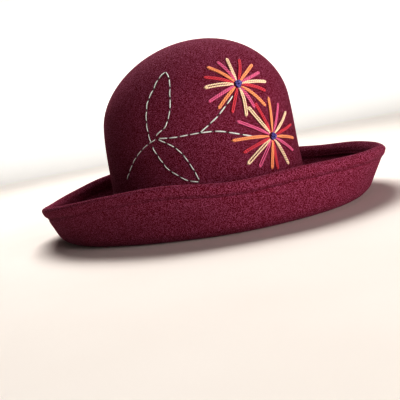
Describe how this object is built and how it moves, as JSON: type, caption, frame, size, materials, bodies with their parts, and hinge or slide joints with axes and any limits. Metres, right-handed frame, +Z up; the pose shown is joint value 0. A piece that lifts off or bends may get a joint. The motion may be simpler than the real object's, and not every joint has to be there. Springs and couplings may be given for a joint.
{
  "type": "cloche hat",
  "caption": "Deep round-crowned felt cloche hat with a brim rolled up all round, a folded hem at the rim, and flowers and leaves embroidered on one side of the crown",
  "frame": {"origin": "middle of the hat's box, at its bottom: the flat underside of the brim lies on Z = 0", "axes": "+Z up through the crown, -Y to the hat's front, +X to the wearer's left"},
  "size_m": [0.2968, 0.3264, 0.1625],
  "materials": {
    "felt": "matt burgundy wool felt with a fine short nap, slightly mottled",
    "yarn_orange": "twisted embroidery yarn, soft sheen",
    "yarn_pink": "twisted embroidery yarn, soft sheen",
    "yarn_yellow": "twisted embroidery yarn, soft sheen",
    "yarn_red": "twisted embroidery yarn, soft sheen",
    "yarn_navy": "twisted embroidery yarn, soft sheen",
    "thread_grey": "thin silvery grey-green thread, soft sheen"
  },
  "bodies": {
    "root": {"felt_hat": "felt"}
  },
  "joints": []
}
